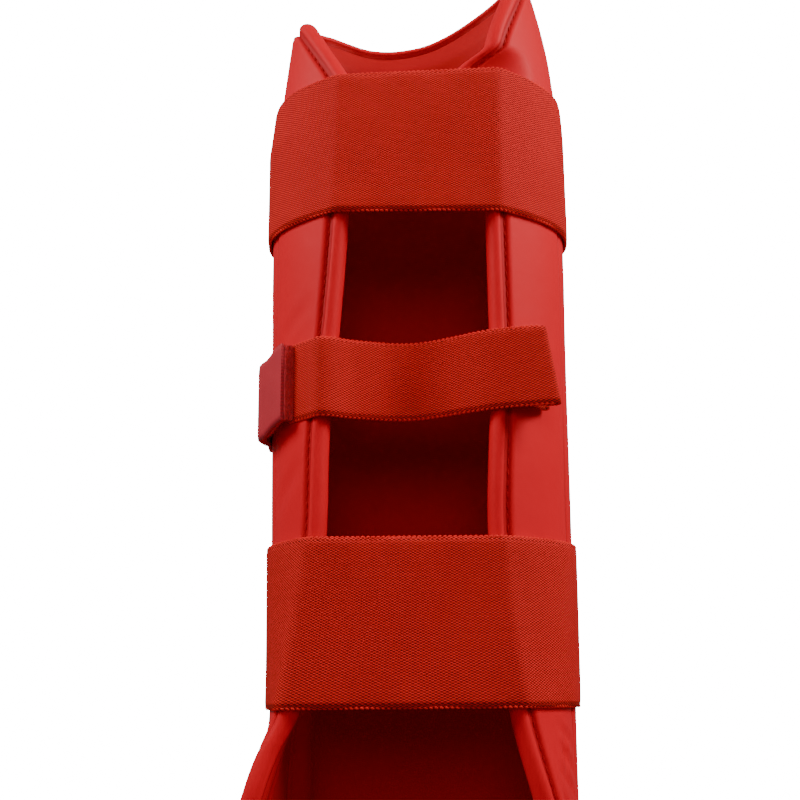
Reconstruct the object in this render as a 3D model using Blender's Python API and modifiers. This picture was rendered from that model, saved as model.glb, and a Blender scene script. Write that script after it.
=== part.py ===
"""Padded shin guard, open at the back.

A thick padded front panel carries a thin padded flap on each side. Every rear and upper edge is rolled.
Two wide elastic bands cross the open back, and a narrower elastic strap closes it with a hook tab.
Metres, +Z up. The back faces -Y, the front faces +Y, and the guard stands on its hem at z = 0.
Shapes are laid out from the rear plane of the flaps, and one empty then puts the origin in the front hem.
"""

import math

import bmesh
import bpy
from mathutils import Matrix, Vector

# Shell
HEIGHT = 0.350  # hem to the lowest point of the top rim
HALF_WIDTH = 0.0605  # centre plane to the widest line
DEPTH = 0.086  # rear plane of the flaps to the front
WIDEST_Y = 0.042  # widest line, forward of the rear plane
FRONT_POWER = 2.15  # superellipse power of the front's outline
TOP_TAPER = 0.009  # how much narrower each side is at the top
TOP_TAPER_SPAN = 0.070
TOP_LIMIT = 1.3  # the taper stops growing this far up its span
BOTTOM_TAPER = 0.0036  # how much narrower each side is at the hem
BOTTOM_TAPER_SPAN = 0.220
TOP_LEAN = 0.008  # how far the front leans back at the top
FLAP_PULL = 0.42  # how far a flap runs straight back before it turns in
FLAP_LIFT = 0.45
SEAM_BEHIND = 0.017  # seam of panel and flap, behind the widest line
SEAM_FORWARD = 0.008  # how much nearer to the widest line the seam is at the top
SEAM_SPAN = 0.110
# Top rim: distance from the front's middle line, towards the right, and height over the scoop's lowest point.
RIM = ((-0.115, -0.022), (-0.095, -0.019), (-0.070, -0.006), (-0.045, 0.0012), (-0.017, 0.0),
       (0.005, 0.0035), (0.033, 0.0135), (0.050, 0.0165), (0.080, 0.0160), (0.115, 0.0150))

# Layers
GAP = 0.0004  # between touching layers
COVER = 0.0012
LINING = 0.0012
FRONT_PAD = 0.014  # whole front panel, in its middle
EDGE_PAD = 0.008  # whole flap, and the front panel along its edges
PAD_RUN = 0.020  # width over which the front panel swells
FLAP_FOAM_SHARE = 0.96  # foam's share of the room between a flap's cover and lining
ROLL_R = 0.0038
RIM_R = 0.0030
HEM_HEIGHT = 0.004
LEAST_STRIP = 0.004  # narrowest strip of flap left beside its roll
FLAP_ROOM = 4 * GAP  # flared flaps stay this far above their hem
ROLL_START = 0.0016  # lower end of a roll's middle line

# Elastic and hook-and-loop
BAND_WIDTH = 0.060
BAND_THICK = 0.0016
BAND_CLEAR = 0.0008
BAND_ANCHOR = 0.034  # sewn end of a band, forward of the seam
LOWER_BAND_Z = 0.083  # middle of the lower band, above the hem
UPPER_BAND_DROP = 0.080  # middle of the upper band, below the rim
STRAP_WIDTH = 0.030
STRAP_RAISE = -0.003  # strap's middle, from halfway between the bands
STRAP_THICK = 0.0015
STRAP_TILT = 0.003  # how much higher the strap's fold is than its end
STRAP_SAG = 0.2389  # how far the strap hangs into the opening, as a share of the opening
STRAP_STAND = 0.0085  # how far the strap's fold stands behind the crest
STRAP_PATCH = 0.010  # sewn length of the strap's base
FOLD_R = 0.0052
FOLD_OUT = 0.0165  # fold's centre, outward of the right crest
STRAP_RUN = ((0.05, 1.0), (0.62, 0.45))  # strap across the opening: shares of the opening and of the sag
FOLD_SWELL = (0.0035, 0.0012)  # where the sewn end leaves the flap
FOLD_LEAD = (0.55, 0.004)  # strap just after its fold: share of the fold's offset, distance off it
FOLD_UNDER = 0.001
STRAP_END = 0.014  # end of the strap, behind the left seam
LOOP_THICK = 0.0014
LOOP_SHARE = 0.96  # loop tape's share of the room between the strap's end and the rolled edge
LOOP_INSET = 0.001
TAB_WIDTH = 0.030
TAB_THICK = 0.0014
HOOK_THICK = 0.0012
TAB_LAP = 0.010  # sewn end of the tab, forward of its hinge
TAB_HINGE = 0.012  # tab's hinge line, forward of the seam
TAB_RISE = 0.012  # length over which the tab rises onto the strap's end
TAB_TIP = 0.014  # tip of the tab, forward of the left crest
THREAD_R = 0.0005
THREAD_INSET = 0.003
RIM_THREAD_INSET = 0.02  # share of the rim left unstitched at each end
SEAM_SHARE = 0.1  # least room beside the seam, as a share of the flap's thickness
SEAM_ROOM = max(THREAD_R + GAP, SEAM_SHARE * EDGE_PAD)  # what each side leaves beside the seam
FOAM_SLACK = 0.0005  # the front foam's swollen inner face, from its lining
THREAD_SINK = 0.00065  # how deep a thread's middle lies in its groove

# Each side: rear crest line as (share of height, half-opening, distance forward), then its tip.
LEFT = {
    "sign": -1,
    "crest": ((0.0, 0.073, 0.004), (0.063, 0.0658, 0.0), (0.11, 0.0592, 0.0), (0.15, 0.0510, 0.0),
              (0.32, 0.0405, 0.0), (0.44, 0.0388, 0.0), (0.58, 0.0335, 0.0), (0.69, 0.0305, 0.0),
              (0.86, 0.0285, 0.003), (1.02, 0.030, 0.008)),
    "top_power": 1.0,
    "cut_drop": 0.052,
    "tip_rise": -0.012,
    "cut_power": (1.1, 0.8),
}
RIGHT = {
    "sign": 1,
    "crest": ((0.0, 0.050, 0.004), (0.063, 0.0425, 0.0), (0.15, 0.0335, 0.0), (0.32, 0.0268, 0.0),
              (0.49, 0.0292, 0.0), (0.69, 0.0290, 0.0), (0.86, 0.030, -0.001), (1.05, 0.035, 0.003)),
    "top_power": 2.0,
    "cut_drop": 0.040,
    "tip_rise": 0.010,
    "cut_power": (1.6, 0.7),
}

# Mesh resolution
FRONT_COLUMNS = 24
FRONT_ROWS = 14
FLAP_COLUMNS = 4
FLAP_ROWS = 20
BAND_ROWS = 5
STRAP_ROWS = 2
SECTION_STEPS = 24
TUBE_STEPS = 30
THREAD_STEPS = 22

RED_VINYL = (0.60, 0.035, 0.028)
RED_LINING = (0.42, 0.010, 0.012)
RED_ELASTIC = (0.50, 0.012, 0.006)
RED_TAPE = (0.48, 0.022, 0.028)
THREAD_RED = (0.22, 0.006, 0.006)
FOAM = (0.72, 0.70, 0.66)


def clear_scene():
    for item in list(bpy.data.objects):
        bpy.data.objects.remove(item, do_unlink=True)


def material(name, colour, roughness):
    made = bpy.data.materials.new(name)
    made.use_nodes = True
    shader = made.node_tree.nodes["Principled BSDF"]
    shader.inputs["Base Color"].default_value = (*colour, 1.0)
    shader.inputs["Roughness"].default_value = roughness
    shader.inputs["Metallic"].default_value = 0.0
    return made


def clamp(value, low=0.0, high=1.0):
    return max(low, min(high, value))


def smoothstep(value):
    value = clamp(value)
    return value * value * (3.0 - 2.0 * value)


def smooth_keys(keys, at):
    """Value at a place on a smooth curve through keys of (place, value, value, ...)."""
    at = clamp(at, keys[0][0], keys[-1][0])
    span = next(i for i in range(len(keys) - 1) if at <= keys[i + 1][0])
    before, start = keys[max(span - 1, 0)], keys[span]
    end, after = keys[span + 1], keys[min(span + 2, len(keys) - 1)]
    width = end[0] - start[0]
    t = (at - start[0]) / width
    values = []
    for k in range(1, len(start)):
        slope_in = (end[k] - before[k]) / (end[0] - before[0]) * width
        slope_out = (after[k] - start[k]) / (after[0] - start[0]) * width
        values.append((2 * t**3 - 3 * t**2 + 1) * start[k] + (t**3 - 2 * t**2 + t) * slope_in
                      + (3 * t**2 - 2 * t**3) * end[k] + (t**3 - t**2) * slope_out)
    return values


def between(table, at, value=1, place=0):
    """Straight-line reading of one column of a table against another that rises."""
    for low, high in zip(table, table[1:]):
        if at <= high[place]:
            share = (at - low[place]) / (high[place] - low[place])
            return low[value] + share * (high[value] - low[value])
    return table[-1][value]


SECTIONS = {}


def section(side, z):
    """Outer outline at a height, from the middle of the front to the crest: (distance, x, y) rows."""
    key = (side["sign"], round(z, 6))
    if key in SECTIONS:
        return SECTIONS[key]
    top = clamp((z - HEIGHT + TOP_TAPER_SPAN) / TOP_TAPER_SPAN, 0.0, TOP_LIMIT)
    wide = HALF_WIDTH - TOP_TAPER * top ** side["top_power"]
    wide -= BOTTOM_TAPER * clamp(1.0 - z / BOTTOM_TAPER_SPAN)
    deep = DEPTH - WIDEST_Y - TOP_LEAN * smoothstep((z - HEIGHT / 2) / (HEIGHT / 2))
    points = []
    for i in range(SECTION_STEPS + 1):
        turn = math.pi / 2 * i / SECTION_STEPS
        points.append(Vector((wide * math.sin(turn) ** (2 / FRONT_POWER),
                              WIDEST_Y + deep * max(math.cos(turn), 0.0) ** (2 / FRONT_POWER))))
    open_x, open_y = smooth_keys(side["crest"], z / HEIGHT)
    crest = Vector((open_x, open_y))
    widest = Vector((wide, WIDEST_Y))
    pull = widest - Vector((0.0, FLAP_PULL * (widest - crest).length))
    lift = crest + FLAP_LIFT * (pull - crest)
    for i in range(1, SECTION_STEPS + 1):
        t = i / SECTION_STEPS
        points.append((1 - t) ** 3 * widest + 3 * (1 - t) ** 2 * t * pull
                      + 3 * (1 - t) * t**2 * lift + t**3 * crest)
    rows = [(0.0, 0.0, points[0].y)]
    for last, here in zip(points, points[1:]):
        rows.append((rows[-1][0] + (here - last).length, here.x, here.y))
    SECTIONS[key] = rows
    return rows


def seam_at(side, z):
    """Distance from the middle of the front to the seam."""
    behind = SEAM_BEHIND - SEAM_FORWARD * smoothstep((z - HEIGHT + SEAM_SPAN) / SEAM_SPAN)
    return section(side, z)[SECTION_STEPS][0] + behind


def flat_place(side, z, along, out=0.0):
    """Point in plan and its outward direction, at a distance along the outline and off it."""
    rows = section(side, z)
    step = 0.0004
    here = Vector((between(rows, along, 1), between(rows, along, 2)))
    ahead = Vector((between(rows, along + step, 1), between(rows, along + step, 2)))
    behind = Vector((between(rows, along - step, 1), between(rows, along - step, 2)))
    run = (ahead - behind).normalized()
    away = Vector((-run.y, run.x))
    return here + out * away, away


def place(side, z, along, out=0.0):
    """Point in space at a height, a distance from the front's middle line and off the outer face."""
    flat, _ = flat_place(side, z, along, out)
    return Vector((side["sign"] * flat.x, flat.y, z))


def tip_height(side):
    return HEIGHT + side["tip_rise"]


def reach_at(side, z):
    """Distance from the front's middle line to the flap's free edge."""
    full = section(side, z)[-1][0]
    start = HEIGHT - side["cut_drop"]
    least = seam_at(side, z) + GAP + 2 * ROLL_R
    t = clamp((z - start) / (tip_height(side) - start))
    first, second = side["cut_power"]
    return least + (full - least) * (1 - t**first) ** second


def edge_line(side, inset, steps=80):
    """The flap's free edge, moved inward: (height, distance) rows from the hem to the tip."""
    edge = [Vector((reach_at(side, tip_height(side) * i / steps), tip_height(side) * i / steps))
            for i in range(steps + 1)]
    line = []
    for i, here in enumerate(edge):
        run = (edge[min(i + 1, steps)] - edge[max(i - 1, 0)]).normalized()
        moved = here + inset * Vector((-run.y, run.x))
        if not line or moved.y > line[-1][0] + 1e-5:
            line.append((moved.y, moved.x))
    return line


def rim_at(side, along):
    """Height of the top rim at a distance from the front's middle line."""
    return HEIGHT + smooth_keys(RIM, along * side["sign"])[0]


def front_thickness(side, z, along):
    inward = min(seam_at(side, z) - along, rim_at(side, along) - z, z)
    return EDGE_PAD + (FRONT_PAD - EDGE_PAD) * smoothstep(inward / PAD_RUN)


def add_object(name, mesh, finish, collection):
    item = bpy.data.objects.new(name, mesh)
    item.data.materials.append(finish)
    collection.objects.link(item)
    return item


def sheet(name, columns, rows, spot, thickness, finish, collection, outward=None, shares=None):
    """A grid laid over spot(u, v) and thickened inward. Its faces mostly look along outward, or away from
    the upright line through the middle of the shell."""
    form = bmesh.new()
    bmesh.ops.create_grid(form, x_segments=columns, y_segments=rows, size=0.5)
    groups = {}
    for vertex in form.verts:
        u = clamp(vertex.co.x + 0.5)
        v = clamp(vertex.co.y + 0.5)
        vertex.co = spot(u, v)
        if shares:
            groups[vertex.index] = shares(u, v)
    form.normal_update()
    facing = 0.0
    for face in form.faces:
        middle = face.calc_center_median()
        facing += face.normal.dot(outward or Vector((middle.x, middle.y - WIDEST_Y, 0.0))) * face.calc_area()
    if facing < 0:
        bmesh.ops.reverse_faces(form, faces=form.faces)
    mesh = bpy.data.meshes.new(name)
    form.to_mesh(mesh)
    form.free()
    mesh.shade_smooth()
    item = add_object(name, mesh, finish, collection)
    wall = item.modifiers.new("wall", "SOLIDIFY")
    wall.thickness = thickness
    wall.offset = -1.0
    wall.use_even_offset = True
    if shares:
        group = item.vertex_groups.new(name="fill")
        for index, share in groups.items():
            group.add([index], share, "REPLACE")
        wall.vertex_group = "fill"
    return item


def tube(name, route, radius, finish, collection, resolution=2):
    """A round piece along a route, closed at both ends."""
    curve = bpy.data.curves.new(name, "CURVE")
    curve.dimensions = "3D"
    curve.bevel_depth = radius
    curve.bevel_resolution = resolution
    curve.use_fill_caps = True
    spline = curve.splines.new("POLY")
    spline.points.add(len(route) - 1)
    for point, spot in zip(spline.points, route):
        point.co = (*spot, 1.0)
    return add_object(name, curve, finish, collection)


def add_pivot(name, spot, pieces, collection):
    """An empty on a line that pieces turn about, with the pieces as its children."""
    pivot = bpy.data.objects.new(name, None)
    pivot.location = spot
    collection.objects.link(pivot)
    for piece in pieces:
        piece.parent = pivot
        piece.matrix_parent_inverse = Matrix.Translation(-spot)
    return pivot


def make_front(finishes, collection):
    low = HEM_HEIGHT + GAP

    def level(u, v):
        side = RIGHT if u >= 0.5 else LEFT
        share = abs(u - 0.5) * 2
        top = rim_at(side, share * seam_at(side, HEIGHT)) - 2 * RIM_R - 2 * GAP
        return side, share, low + v * (top - low)

    def spot_at(out):
        def spot(u, v):
            side, share, z = level(u, v)
            along = share * (seam_at(side, z) - SEAM_ROOM)
            return place(side, z, along, out(side, z, along))
        return spot

    def fill(u, v):
        side, share, z = level(u, v)
        room = front_thickness(side, z, share * seam_at(side, z)) - skins - FOAM_SLACK
        return room / (FRONT_PAD - skins)

    skins = COVER + LINING + 2 * GAP
    sheet("front_cover", FRONT_COLUMNS, FRONT_ROWS, spot_at(lambda side, z, along: 0.0), COVER,
          finishes["vinyl"], collection)
    sheet("front_foam", FRONT_COLUMNS, FRONT_ROWS, spot_at(lambda side, z, along: -COVER - GAP),
          FRONT_PAD - skins, finishes["foam"], collection, shares=fill)
    sheet("front_lining", FRONT_COLUMNS, FRONT_ROWS,
          spot_at(lambda side, z, along: LINING - front_thickness(side, z, along)), LINING,
          finishes["lining"], collection)

    def rim_spot(u, below, out):
        side = RIGHT if u >= 0.5 else LEFT
        along = abs(u - 0.5) * 2 * (seam_at(side, HEIGHT) - GAP)
        return place(side, rim_at(side, along) - below, along, out)

    steps = [i / TUBE_STEPS for i in range(TUBE_STEPS + 1)]
    tube("rim_roll", [rim_spot(u, RIM_R, -EDGE_PAD / 2) for u in steps], RIM_R, finishes["vinyl"], collection)
    stitched = [RIM_THREAD_INSET + (1.0 - 2 * RIM_THREAD_INSET) * u for u in steps]
    groove = [rim_spot(u, 2 * RIM_R - THREAD_R, THREAD_R - EDGE_PAD) for u in stitched]
    tube("rim_thread", groove, THREAD_R, finishes["thread"], collection, 0)

    def hem_spot(u, v):
        side = RIGHT if u >= 0.5 else LEFT
        return place(side, 0.0, abs(u - 0.5) * 2 * (seam_at(side, 0.0) - GAP), -EDGE_PAD * v)

    sheet("front_hem", FRONT_COLUMNS, 1, hem_spot, HEM_HEIGHT, finishes["vinyl"], collection,
          outward=Vector((0.0, 0.0, -1.0)))


def make_flap(side, word, finishes, collection):
    strip_edge = edge_line(side, 2 * ROLL_R + 2 * GAP)
    wide_rows = [row for row in strip_edge if row[1] - seam_at(side, row[0]) >= LEAST_STRIP]
    low = HEM_HEIGHT + FLAP_ROOM
    high = wide_rows[-1][0]

    def spot_at(out):
        def spot(u, v):
            z = low + v * (high - low)
            start = seam_at(side, z) + SEAM_ROOM
            return place(side, z, start + u * (between(strip_edge, z) - start), out)
        return spot

    core = FLAP_FOAM_SHARE * (EDGE_PAD - COVER - LINING - 2 * GAP)
    beside = Vector((side["sign"], -1.0, 0.0))
    for name, out, thickness, finish in (("cover", 0.0, COVER, "vinyl"),
                                         ("foam", -COVER - GAP, core, "foam"),
                                         ("lining", LINING - EDGE_PAD, LINING, "lining")):
        sheet(f"{word}_flap_{name}", FLAP_COLUMNS, FLAP_ROWS, spot_at(out), thickness, finishes[finish],
              collection, outward=beside)

    def along_edge(inset, out, first, last):
        line = edge_line(side, inset)
        route = []
        for i in range(TUBE_STEPS + 1):
            z = first + (last - first) * (1 - (1 - i / TUBE_STEPS) ** 1.5)
            route.append(place(side, z, between(line, z), out))
        return route

    top = edge_line(side, ROLL_R)[-1][0]
    tube(f"{word}_flap_roll", along_edge(ROLL_R, -EDGE_PAD / 2, ROLL_START, top), ROLL_R, finishes["vinyl"],
         collection)
    thread = along_edge(2 * ROLL_R - THREAD_R, -THREAD_SINK, low + THREAD_INSET, high - THREAD_INSET)
    tube(f"{word}_roll_thread", thread, THREAD_R, finishes["thread"], collection, 0)

    def hem_spot(u, v):
        start = seam_at(side, 0.0) + GAP
        end = between(strip_edge, HEM_HEIGHT / 2) - GAP
        return place(side, 0.0, start + u * (end - start), -EDGE_PAD * v)

    sheet(f"{word}_flap_hem", FLAP_COLUMNS, 1, hem_spot, HEM_HEIGHT, finishes["vinyl"], collection,
          outward=Vector((0.0, 0.0, -1.0)))
    seam_top = high - THREAD_INSET
    seam = []
    for i in range(THREAD_STEPS + 1):
        z = low + (seam_top - low) * i / THREAD_STEPS
        seam.append(place(side, z, seam_at(side, z), -THREAD_SINK))
    tube(f"{word}_seam_thread", seam, THREAD_R, finishes["thread"], collection, 0)


def crest_centre(side, z):
    """Middle of the rolled edge in plan, and the outward direction of the flap beside it."""
    reach = reach_at(side, z)
    centre, away = flat_place(side, z, reach - ROLL_R, -EDGE_PAD / 2)
    return centre, away


def round_crest(side, z, radius, steps):
    """Plan points round the back of the rolled edge, from the flap's outer face to straight back."""
    centre, away = crest_centre(side, z)
    start = math.atan2(away.y, away.x)
    turn = (-math.pi / 2 - start + math.pi) % (2 * math.pi) - math.pi
    points = []
    for i in range(steps + 1):
        angle = start + turn * i / steps
        points.append(Vector((side["sign"] * (centre.x + radius * math.cos(angle)),
                              centre.y + radius * math.sin(angle), z)))
    return points


def band_run(z):
    """One level of a band's outer face, from its left sewn end to its right one."""
    lift = BAND_CLEAR + BAND_THICK
    flank_steps, crest_steps = 8, 4
    halves = []
    for side in (LEFT, RIGHT):
        first = seam_at(side, z) - BAND_ANCHOR
        last = reach_at(side, z) - ROLL_R
        flank = [place(side, z, first + (last - first) * i / flank_steps, lift) for i in range(flank_steps)]
        halves.append(flank + round_crest(side, z, EDGE_PAD / 2 + lift, crest_steps))
    left, right = halves
    across = [left[-1].lerp(right[-1], i / 4) for i in range(1, 4)]
    return left + across + right[::-1]


def make_band(word, middle, finishes, collection):
    runs = {}

    def spot(u, v):
        z = middle + (v - 0.5) * BAND_WIDTH
        key = round(z, 6)
        if key not in runs:
            runs[key] = band_run(z)
        return runs[key][round(u * (len(runs[key]) - 1))]

    count = len(band_run(middle)) - 1
    sheet(f"{word}_band", count, BAND_ROWS, spot, BAND_THICK, finishes["elastic"], collection,
          outward=Vector((0.0, -1.0, 0.0)))
    lift = BAND_CLEAR + BAND_THICK + GAP + THREAD_R
    for side, end in ((LEFT, "left"), (RIGHT, "right")):
        rows = []
        for i in range(7):
            z = middle + (i / 6 - 0.5) * (BAND_WIDTH - 2 * THREAD_INSET)
            rows.append(place(side, z, seam_at(side, z) - BAND_ANCHOR + THREAD_INSET, lift))
        tube(f"{word}_band_{end}_thread", rows, THREAD_R, finishes["thread"], collection, 0)


def spaced(points, count):
    """The same route with evenly spaced points."""
    rows = [(0.0, *points[0])]
    for last, here in zip(points, points[1:]):
        rows.append((rows[-1][0] + (here - last).length, *here))
    total = rows[-1][0]
    return [Vector((between(rows, total * i / count, 1), between(rows, total * i / count, 2)))
            for i in range(count + 1)]


def rounded(points, steps=8):
    """A smooth plan curve through the given points."""
    keys = [(i, point.x, point.y) for i, point in enumerate(points)]
    return [Vector(smooth_keys(keys, i / steps)) for i in range((len(points) - 1) * steps + 1)]


def strap_middle():
    lower_edge = LOWER_BAND_Z + BAND_WIDTH / 2
    upper_edge = HEIGHT - UPPER_BAND_DROP - BAND_WIDTH / 2
    return (lower_edge + upper_edge) / 2 + STRAP_RAISE


def signed(side, flat):
    return Vector((side["sign"] * flat.x, flat.y))


def fold_centre():
    """Plan centre of the strap's loose fold, behind the right flap."""
    crest, _ = crest_centre(RIGHT, strap_middle())
    return crest + Vector((FOLD_OUT, -STRAP_STAND + ROLL_R))


def ribbon(name, line, z_at, width, rows, thickness, finish, collection, outward):
    """A flat strip stood on edge along a plan line, whose outer face is the line."""
    def spot(u, v):
        index = round(u * (len(line) - 1))
        flat = line[index]
        return Vector((flat.x, flat.y, z_at(u) + (v - 0.5) * width))

    return sheet(name, len(line) - 1, rows, spot, thickness, finish, collection, outward=outward)


def tab_surface(along, out):
    """Plan point on the left flank, off the outer face there."""
    flat, _ = flat_place(LEFT, strap_middle(), along, out)
    return signed(LEFT, flat)


def make_strap(finishes, collection):
    middle = strap_middle()
    fold = fold_centre()
    back = Vector((0.0, -1.0, 0.0))
    reach = reach_at(RIGHT, middle)
    sewn = reach - 2 * ROLL_R - 4 * THREAD_R - 4 * GAP
    lift = GAP + STRAP_THICK
    patch = [signed(RIGHT, flat_place(RIGHT, middle, sewn - STRAP_PATCH * i / 3, lift)[0]) for i in range(4)]
    under = fold + Vector((0.0, FOLD_R + GAP))
    patch_end = flat_place(RIGHT, middle, sewn - STRAP_PATCH, lift)
    swell = patch[-1] + Vector(FOLD_SWELL)
    base = patch[:-1] + rounded([patch[-1], swell, under + Vector((FOLD_UNDER, 0.0))], 4)
    ribbon("strap_base", base, lambda u: middle + STRAP_TILT, STRAP_WIDTH, STRAP_ROWS, STRAP_THICK,
           finishes["elastic"], collection, Vector((*patch_end[1], 0.0)))
    stitch = [Vector((*tack, middle + STRAP_TILT + (i / 6 - 0.5) * (STRAP_WIDTH - 2 * THREAD_INSET)))
              for i in range(7)
              for tack in [signed(RIGHT, flat_place(RIGHT, middle, sewn - THREAD_INSET,
                                                    lift + GAP + THREAD_R)[0])]]
    tube("strap_base_thread", stitch, THREAD_R, finishes["thread"], collection, 0)

    turn = [fold + FOLD_R * Vector((math.cos(a), math.sin(a)))
            for a in (math.pi / 2 - math.pi * i / 8 for i in range(9))]
    left_crest, left_away = crest_centre(LEFT, middle)
    crest_x = -left_crest.x
    over = EDGE_PAD / 2 + 2 * lift
    last = seam_at(LEFT, middle) + STRAP_END
    end_reach = reach_at(LEFT, middle) - 2 * ROLL_R
    flank = [tab_surface(end_reach + (last - end_reach) * i / 4, lift + GAP) for i in range(5)]
    opening = crest_centre(RIGHT, middle)[0].x + left_crest.x
    mid_y = STRAP_SAG * opening - STRAP_STAND / 2
    across = [Vector((crest_x * share, mid_y * hang)) for share, hang in STRAP_RUN]
    shoulder = signed(LEFT, left_crest + over * (left_away + Vector((0.0, -1.0))).normalized())
    shape = rounded([turn[-1], Vector((fold.x * FOLD_LEAD[0], turn[-1].y + FOLD_LEAD[1])), *across,
                     Vector((crest_x, left_crest.y - over)), shoulder, flank[0]])
    run = spaced(shape[1:], 26)
    line = turn + run[1:] + flank[1:]

    def level(u):
        return middle + STRAP_TILT * (1 - smoothstep(u * 1.3))

    strap = ribbon("closing_strap", line, level, STRAP_WIDTH, STRAP_ROWS, STRAP_THICK,
                   finishes["elastic"], collection, back)
    off = lift + GAP + GAP + LOOP_THICK
    loop_first = last + LOOP_INSET
    loop = [tab_surface(loop_first + LOOP_SHARE * (end_reach - loop_first) * i / 5, off) for i in range(6)]
    pile = ribbon("loop_tape", loop, lambda u: middle, STRAP_WIDTH - 2 * THREAD_R, STRAP_ROWS, LOOP_THICK,
                  finishes["tape"], collection, Vector((-1.0, -0.3, 0.0)))
    add_pivot("strap_pivot", Vector((fold.x, fold.y, middle)), [strap, pile], collection)


def make_tab(finishes, collection):
    middle = strap_middle()
    hinge = seam_at(LEFT, middle) - TAB_HINGE
    strap_off = GAP + STRAP_THICK + GAP
    loop_off = strap_off + GAP + LOOP_THICK
    hook_off = loop_off + GAP + HOOK_THICK
    tab_off = hook_off + GAP + TAB_THICK
    root_off = GAP + TAB_THICK
    root = [tab_surface(hinge - TAB_LAP + TAB_LAP * i / 3, root_off) for i in range(4)]
    ribbon("tab_root", root, lambda u: middle, TAB_WIDTH, STRAP_ROWS, TAB_THICK, finishes["tape"],
           collection, Vector((-1.0, 0.0, 0.0)))
    stitch = [place(LEFT, middle + (i / 6 - 0.5) * (TAB_WIDTH - 2 * THREAD_INSET), hinge - TAB_LAP / 2,
                    root_off + GAP + THREAD_R) for i in range(7)]
    tube("tab_thread", stitch, THREAD_R, finishes["thread"], collection, 0)
    tip = reach_at(LEFT, middle) - TAB_TIP
    tab = []
    for i in range(17):
        along = hinge + 2 * GAP + (tip - hinge) * i / 16
        rise = smoothstep((along - hinge) / TAB_RISE)
        tab.append(tab_surface(along, root_off + (tab_off - root_off) * rise))
    moving = [ribbon("hook_tab", tab, lambda u: middle, TAB_WIDTH, STRAP_ROWS, TAB_THICK,
                     finishes["tape"], collection, Vector((-1.0, -0.3, 0.0)))]
    first = seam_at(LEFT, middle) + STRAP_END
    hooks = [tab_surface(first + (tip - LOOP_INSET - first) * i / 6, hook_off) for i in range(7)]
    moving.append(ribbon("hook_field", hooks, lambda u: middle, TAB_WIDTH - 4 * THREAD_R, STRAP_ROWS,
                         HOOK_THICK, finishes["tape"], collection, Vector((-1.0, -0.3, 0.0))))
    turning = tab_surface(hinge, root_off + GAP)
    add_pivot("tab_pivot", Vector((turning.x, turning.y, middle)), moving, collection)


def main():
    clear_scene()
    collection = bpy.data.collections.new("shin_guard")
    bpy.context.scene.collection.children.link(collection)
    finishes = {
        "vinyl": material("red_vinyl", RED_VINYL, 0.45),
        "lining": material("red_lining", RED_LINING, 0.75),
        "elastic": material("red_elastic", RED_ELASTIC, 0.80),
        "tape": material("red_tape", RED_TAPE, 0.70),
        "thread": material("red_thread", THREAD_RED, 0.70),
        "foam": material("pale_foam", FOAM, 0.90),
    }
    make_front(finishes, collection)
    make_flap(LEFT, "left", finishes, collection)
    make_flap(RIGHT, "right", finishes, collection)
    make_band("lower", LOWER_BAND_Z, finishes, collection)
    make_band("upper", HEIGHT - UPPER_BAND_DROP, finishes, collection)
    make_strap(finishes, collection)
    make_tab(finishes, collection)
    loose = [item for item in collection.objects if item.parent is None]
    guard = add_pivot("guard_frame", Vector((0.0, 0.0, 0.0)), loose, collection)
    guard.location.y = EDGE_PAD / 2 - DEPTH


main()
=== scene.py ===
"""Finished surfaces, stitching, elastics and fastening tape of a padded shin guard.

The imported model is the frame. Every operator below makes one piece or a group of like pieces on it.
Metres, +Z up. The open back faces -Y.
"""

import functools
import math
import random

import bmesh
import bpy
import numpy as np
from mathutils import Matrix, Vector, noise


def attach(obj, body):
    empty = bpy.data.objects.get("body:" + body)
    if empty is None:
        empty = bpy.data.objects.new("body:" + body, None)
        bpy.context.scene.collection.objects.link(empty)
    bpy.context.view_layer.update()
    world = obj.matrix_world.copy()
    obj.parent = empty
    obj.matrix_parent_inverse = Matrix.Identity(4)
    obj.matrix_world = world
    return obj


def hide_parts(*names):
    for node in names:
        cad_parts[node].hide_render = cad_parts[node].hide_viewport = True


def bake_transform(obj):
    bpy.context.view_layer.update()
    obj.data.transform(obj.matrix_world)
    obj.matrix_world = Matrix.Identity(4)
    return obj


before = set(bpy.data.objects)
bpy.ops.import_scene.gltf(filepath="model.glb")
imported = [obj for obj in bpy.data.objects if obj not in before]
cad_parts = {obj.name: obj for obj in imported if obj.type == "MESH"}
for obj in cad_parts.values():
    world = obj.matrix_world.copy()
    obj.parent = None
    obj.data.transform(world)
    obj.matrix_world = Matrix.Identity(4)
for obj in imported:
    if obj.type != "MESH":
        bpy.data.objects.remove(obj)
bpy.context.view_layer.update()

bl_info = {
    "name": "Shin guard surfaces",
    "version": (1, 0, 0),
    "blender": (4, 5, 0),
    "location": "View3D > Sidebar > Shin guard",
    "description": "Makes the padded skins, elastics, tape and stitches of a shin guard",
    "category": "Add Mesh",
}

# The shell's outline, as in the design.
HEIGHT = 0.350
HALF_WIDTH = 0.0605
DEPTH = 0.086
WIDEST_Y = 0.042
FRONT_POWER = 2.15
TOP_TAPER = 0.009
TOP_TAPER_SPAN = 0.070
TOP_LIMIT = 1.3
BOTTOM_TAPER = 0.0036
BOTTOM_TAPER_SPAN = 0.220
TOP_LEAN = 0.008
FLAP_PULL = 0.42
FLAP_LIFT = 0.45
SEAM_BEHIND = 0.017
SEAM_FORWARD = 0.008
SEAM_SPAN = 0.110
RIM = ((-0.115, -0.022), (-0.095, -0.019), (-0.070, -0.006), (-0.045, 0.0012), (-0.017, 0.0),
       (0.005, 0.0035), (0.033, 0.0135), (0.050, 0.0165), (0.080, 0.0160), (0.115, 0.0150))
EDGE_PAD = 0.008
FRONT_PAD = 0.014
ROLL_R = 0.0038
BACK_Y = EDGE_PAD / 2 - DEPTH
SKIN_GAP = 0.0004
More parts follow.
